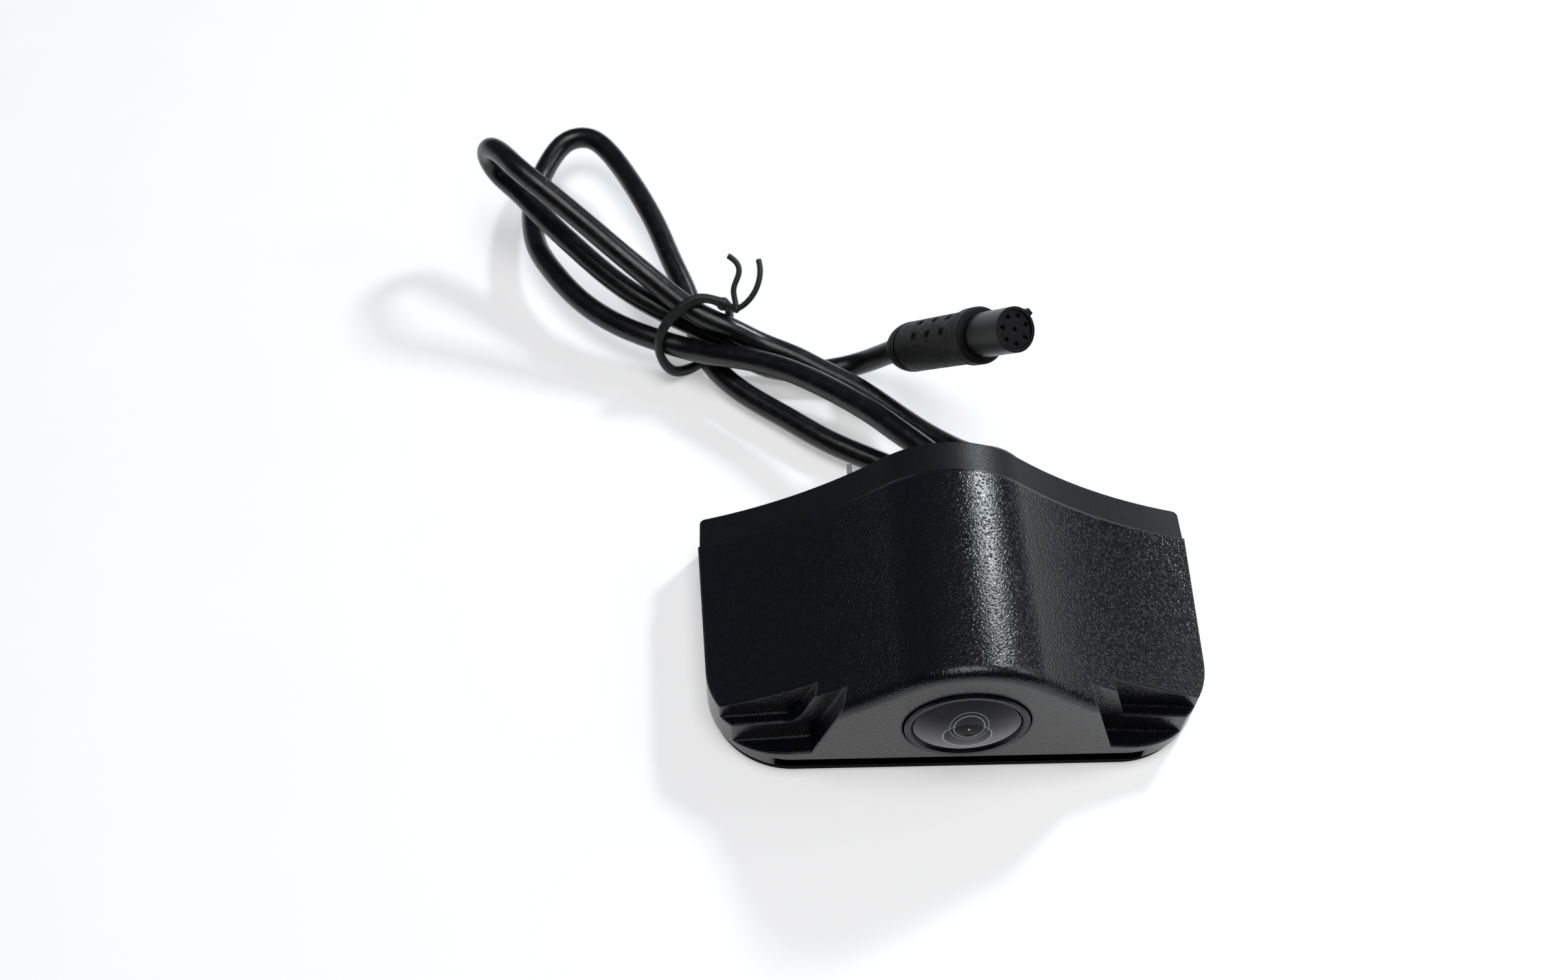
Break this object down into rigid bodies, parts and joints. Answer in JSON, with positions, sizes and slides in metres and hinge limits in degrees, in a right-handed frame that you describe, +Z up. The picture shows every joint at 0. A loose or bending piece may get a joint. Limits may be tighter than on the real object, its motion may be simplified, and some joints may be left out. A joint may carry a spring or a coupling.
{
  "type": "backup camera",
  "caption": "Surface-mount backup camera: bell-shaped textured housing with stepped front corners, domed lens, coiled lead held by a twist tie, moulded plug.",
  "frame": {"origin": "middle of the flat base of the housing, on its symmetry plane", "axes": "+Z up, out of the base through the crown; the lens looks along -Y; +Y out of the mounting face; X across the housing"},
  "size_m": [0.1188, 0.1365, 0.0385],
  "materials": {
    "cover_plastic": "fine pebbled texture, semi-gloss",
    "base_plastic": "smooth satin",
    "module_plastic": "moulded satin",
    "tab_plastic": "light grey, moulded",
    "seal_rubber": "matte",
    "screw_steel": "machined",
    "insert_brass": "turned",
    "ring_metal": "satin dark anodised",
    "barrel_metal": "black anodised, stepped baffles",
    "lens_glass": "coated, violet sheen",
    "filter_glass": "flat, blue-green tint",
    "sensor": "glossy package",
    "board": "solder-masked board",
    "components": "moulded packages",
    "socket_plastic": "ivory moulded",
    "wire": "insulated wire",
    "cable_jacket": "glossy jacket",
    "tie_plastic": "matte ribbon over wire",
    "connector_rubber": "matte moulded grip",
    "connector_plastic": "moulded satin",
    "contact_metal": "dulled plated contacts"
  },
  "bodies": {
    "housing": {"front_cover": "cover_plastic", "bottom_plate": "cover_plastic", "rear_base": "base_plastic", "module_housing": "module_plastic", "module_back_cap": "module_plastic", "lens_holder": "module_plastic", "locating_tab": "tab_plastic", "cover_seal": "seal_rubber", "lens_o_ring": "seal_rubber", "module_gasket": "seal_rubber", "cable_grommet": "seal_rubber", "cover_screws": "screw_steel", "base_screws": "screw_steel", "cap_screws": "screw_steel", "module_screws": "screw_steel", "board_posts": "screw_steel", "mount_inserts": "insert_brass", "lens_ring": "ring_metal", "lens_barrel": "barrel_metal", "lens_spacer": "barrel_metal", "lens_retainer": "barrel_metal", "front_lens": "lens_glass", "second_lens": "lens_glass", "third_lens": "lens_glass", "rear_lens": "lens_glass", "ir_filter": "filter_glass", "image_sensor": "sensor", "sensor_board": "board", "power_board": "board", "board_parts": "components", "board_link": "components", "cable_socket": "socket_plastic", "wire_leads": "wire", "cable_main": "cable_jacket", "twist_tie": "tie_plastic"},
    "cable_tail_body": {"cable_tail": "cable_jacket"},
    "connector": {"connector_boot": "connector_rubber", "connector_collar": "connector_rubber", "connector_shell": "connector_plastic", "connector_insert": "connector_plastic", "contact_sockets": "contact_metal"}
  },
  "joints": [
    {"name": "cable_bend", "type": "hinge", "parent": "housing", "child": "cable_tail_body", "pos_m": [-0.0334, 0.0603, 0.006], "axis": [0, 0, 1], "range_deg": [-5, 20]},
    {"name": "connector_bend", "type": "hinge", "parent": "cable_tail_body", "child": "connector", "pos_m": [-0.00405, 0.0542, 0.0111], "axis": [0, 0, 1], "range_deg": [-15, 15]}
  ]
}
